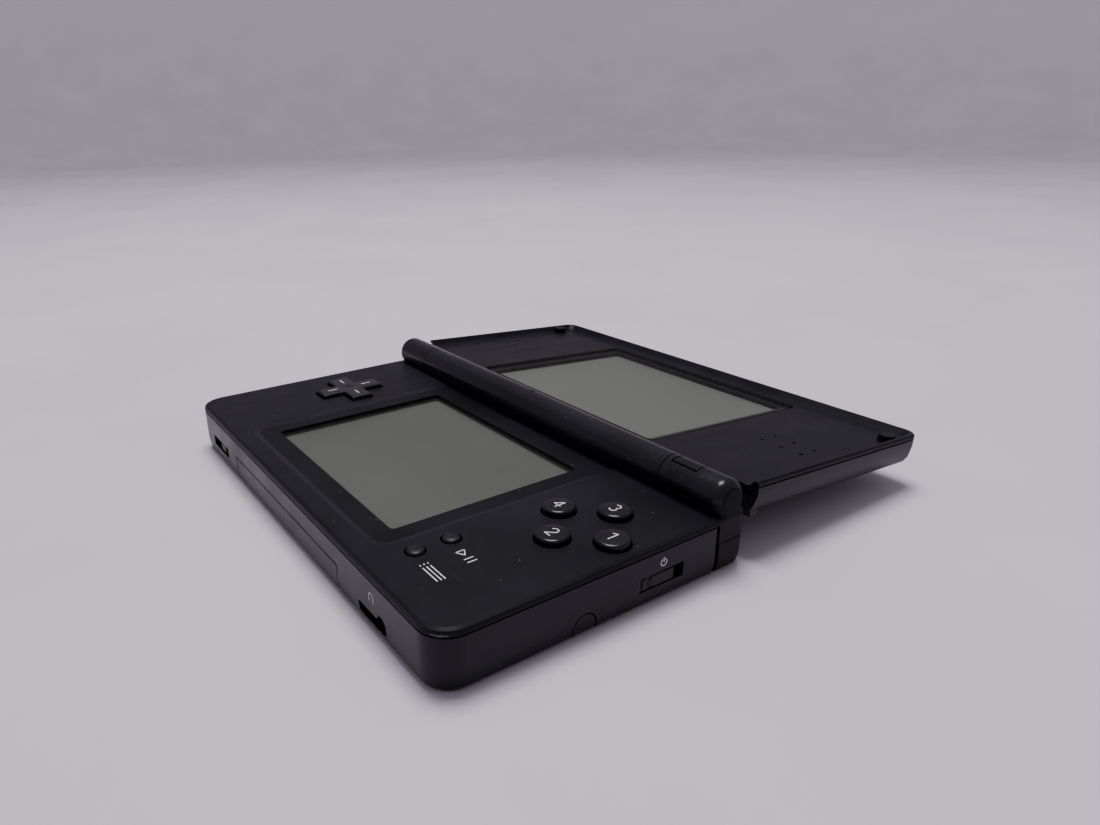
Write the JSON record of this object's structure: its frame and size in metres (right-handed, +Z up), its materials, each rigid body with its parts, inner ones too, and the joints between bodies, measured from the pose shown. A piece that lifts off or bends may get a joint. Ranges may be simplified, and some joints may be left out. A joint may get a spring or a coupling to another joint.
{
  "type": "clamshell handheld game console",
  "caption": "Clamshell handheld game console lying open, with a folding screen lid, a touch screen base, direction pad, buttons, sliders, stylus and card slots",
  "frame": {"origin": "middle of the base's flat underside", "axes": "+X to the player's right, +Y to the hinge and the opened lid, +Z up"},
  "size_m": [0.133, 0.1371, 0.0201],
  "materials": {
    "shell_black": "satin black moulded plastic",
    "key_black": "satin black keys",
    "slider_grey": "dark grey plastic",
    "lens_clear": "clear lens, tinted frame",
    "lens_smoke": "smoky translucent plastic",
    "display_grey": "unlit liquid crystal display",
    "touch_grey": "touch film over an unlit display",
    "rubber_grey": "grey silicone",
    "rubber_black": "black rubber",
    "board_green": "green circuit board",
    "battery_grey": "dark wrapped cell",
    "socket_black": "black moulded socket",
    "metal_steel": "plated steel"
  },
  "bodies": {
    "base": {"base_lower_shell": "shell_black", "base_upper_shell": "shell_black", "battery": "battery_grey", "battery_cover": "shell_black", "battery_cover_screw": "metal_steel", "touch_panel": "touch_grey", "lower_display": "display_grey", "main_board": "board_green", "wireless_board": "board_green", "pad_membrane": "rubber_grey", "face_membrane": "rubber_grey", "menu_membrane": "rubber_grey", "volume_control": "metal_steel", "power_switch": "metal_steel", "cartridge_reader": "socket_black", "card_reader": "socket_black", "headphone_socket": "socket_black", "charging_socket": "socket_black", "rubber_foot_left": "rubber_black", "rubber_foot_right": "rubber_black", "indicator_window": "lens_smoke", "shoulder_pin_left": "metal_steel", "shoulder_pin_right": "metal_steel", "hinge_clutch": "metal_steel", "hinge_bush": "slider_grey"},
    "lid": {"lid_outer_shell": "shell_black", "lid_inner_shell": "shell_black", "upper_glass": "lens_clear", "upper_display": "display_grey", "speaker_left": "metal_steel", "speaker_right": "metal_steel", "lid_bumper_left": "rubber_black", "lid_bumper_right": "rubber_black", "microphone": "metal_steel"},
    "face_right": {"face_button_right": "key_black"},
    "face_lower": {"face_button_lower": "key_black"},
    "face_upper": {"face_button_upper": "key_black"},
    "face_left": {"face_button_left": "key_black"},
    "menu_rear": {"menu_button_rear": "key_black"},
    "menu_front": {"menu_button_front": "key_black"},
    "pad_pivot": {"pad_nub": "slider_grey"},
    "pad": {"direction_pad": "key_black"},
    "shoulder_left": {"shoulder_button_left": "key_black"},
    "shoulder_right": {"shoulder_button_right": "key_black"},
    "volume": {"volume_slider": "slider_grey"},
    "power": {"power_slider": "slider_grey"},
    "dust_cover": {"cartridge_cover": "shell_black"},
    "pen": {"stylus": "key_black"}
  },
  "joints": [
    {"name": "lid_hinge", "type": "hinge", "parent": "base", "child": "lid", "pos_m": [0, 0.03165, 0.0157], "axis": [1, 0, 0], "range_deg": [0, 184]},
    {"name": "face_right_press", "type": "slide", "parent": "base", "child": "face_right", "axis": [0, 0, -1], "range_m": [0, 0.0009], "stiffness_N_per_m": 500},
    {"name": "face_lower_press", "type": "slide", "parent": "base", "child": "face_lower", "axis": [0, 0, -1], "range_m": [0, 0.0009], "stiffness_N_per_m": 500},
    {"name": "face_upper_press", "type": "slide", "parent": "base", "child": "face_upper", "axis": [0, 0, -1], "range_m": [0, 0.0009], "stiffness_N_per_m": 500},
    {"name": "face_left_press", "type": "slide", "parent": "base", "child": "face_left", "axis": [0, 0, -1], "range_m": [0, 0.0009], "stiffness_N_per_m": 500},
    {"name": "menu_rear_press", "type": "slide", "parent": "base", "child": "menu_rear", "axis": [0, 0, -1], "range_m": [0, 0.0005], "stiffness_N_per_m": 500},
    {"name": "menu_front_press", "type": "slide", "parent": "base", "child": "menu_front", "axis": [0, 0, -1], "range_m": [0, 0.0005], "stiffness_N_per_m": 500},
    {"name": "pad_tilt_x", "type": "hinge", "parent": "base", "child": "pad_pivot", "pos_m": [-0.049, 0.0017, 0.00935], "axis": [1, 0, 0], "range_deg": [-3.2, 3.2], "stiffness_Nm_per_rad": 0.1},
    {"name": "pad_tilt_y", "type": "hinge", "parent": "pad_pivot", "child": "pad", "pos_m": [-0.049, 0.0017, 0.00935], "axis": [0, 1, 0], "range_deg": [-3.2, 3.2], "stiffness_Nm_per_rad": 0.1},
    {"name": "shoulder_left_press", "type": "hinge", "parent": "base", "child": "shoulder_left", "pos_m": [-0.0534, 0.03385, 0.0036], "axis": [0, 0, 1], "range_deg": [0, 3.3], "stiffness_Nm_per_rad": 0.15},
    {"name": "shoulder_right_press", "type": "hinge", "parent": "base", "child": "shoulder_right", "pos_m": [0.0534, 0.03385, 0.0036], "axis": [0, 0, -1], "range_deg": [0, 3.3], "stiffness_Nm_per_rad": 0.15},
    {"name": "volume_slide", "type": "slide", "parent": "base", "child": "volume", "axis": [1, 0, 0], "range_m": [-0.0052, 0.0032]},
    {"name": "power_slide", "type": "slide", "parent": "base", "child": "power", "axis": [0, 1, 0], "range_m": [0, 0.0023], "stiffness_N_per_m": 400},
    {"name": "dust_cover_pull", "type": "slide", "parent": "base", "child": "dust_cover", "axis": [0, -1, 0], "range_m": [0, 0.019]},
    {"name": "stylus_pull", "type": "slide", "parent": "base", "child": "pen", "axis": [1, 0, 0], "range_m": [0, 0.0875]}
  ]
}
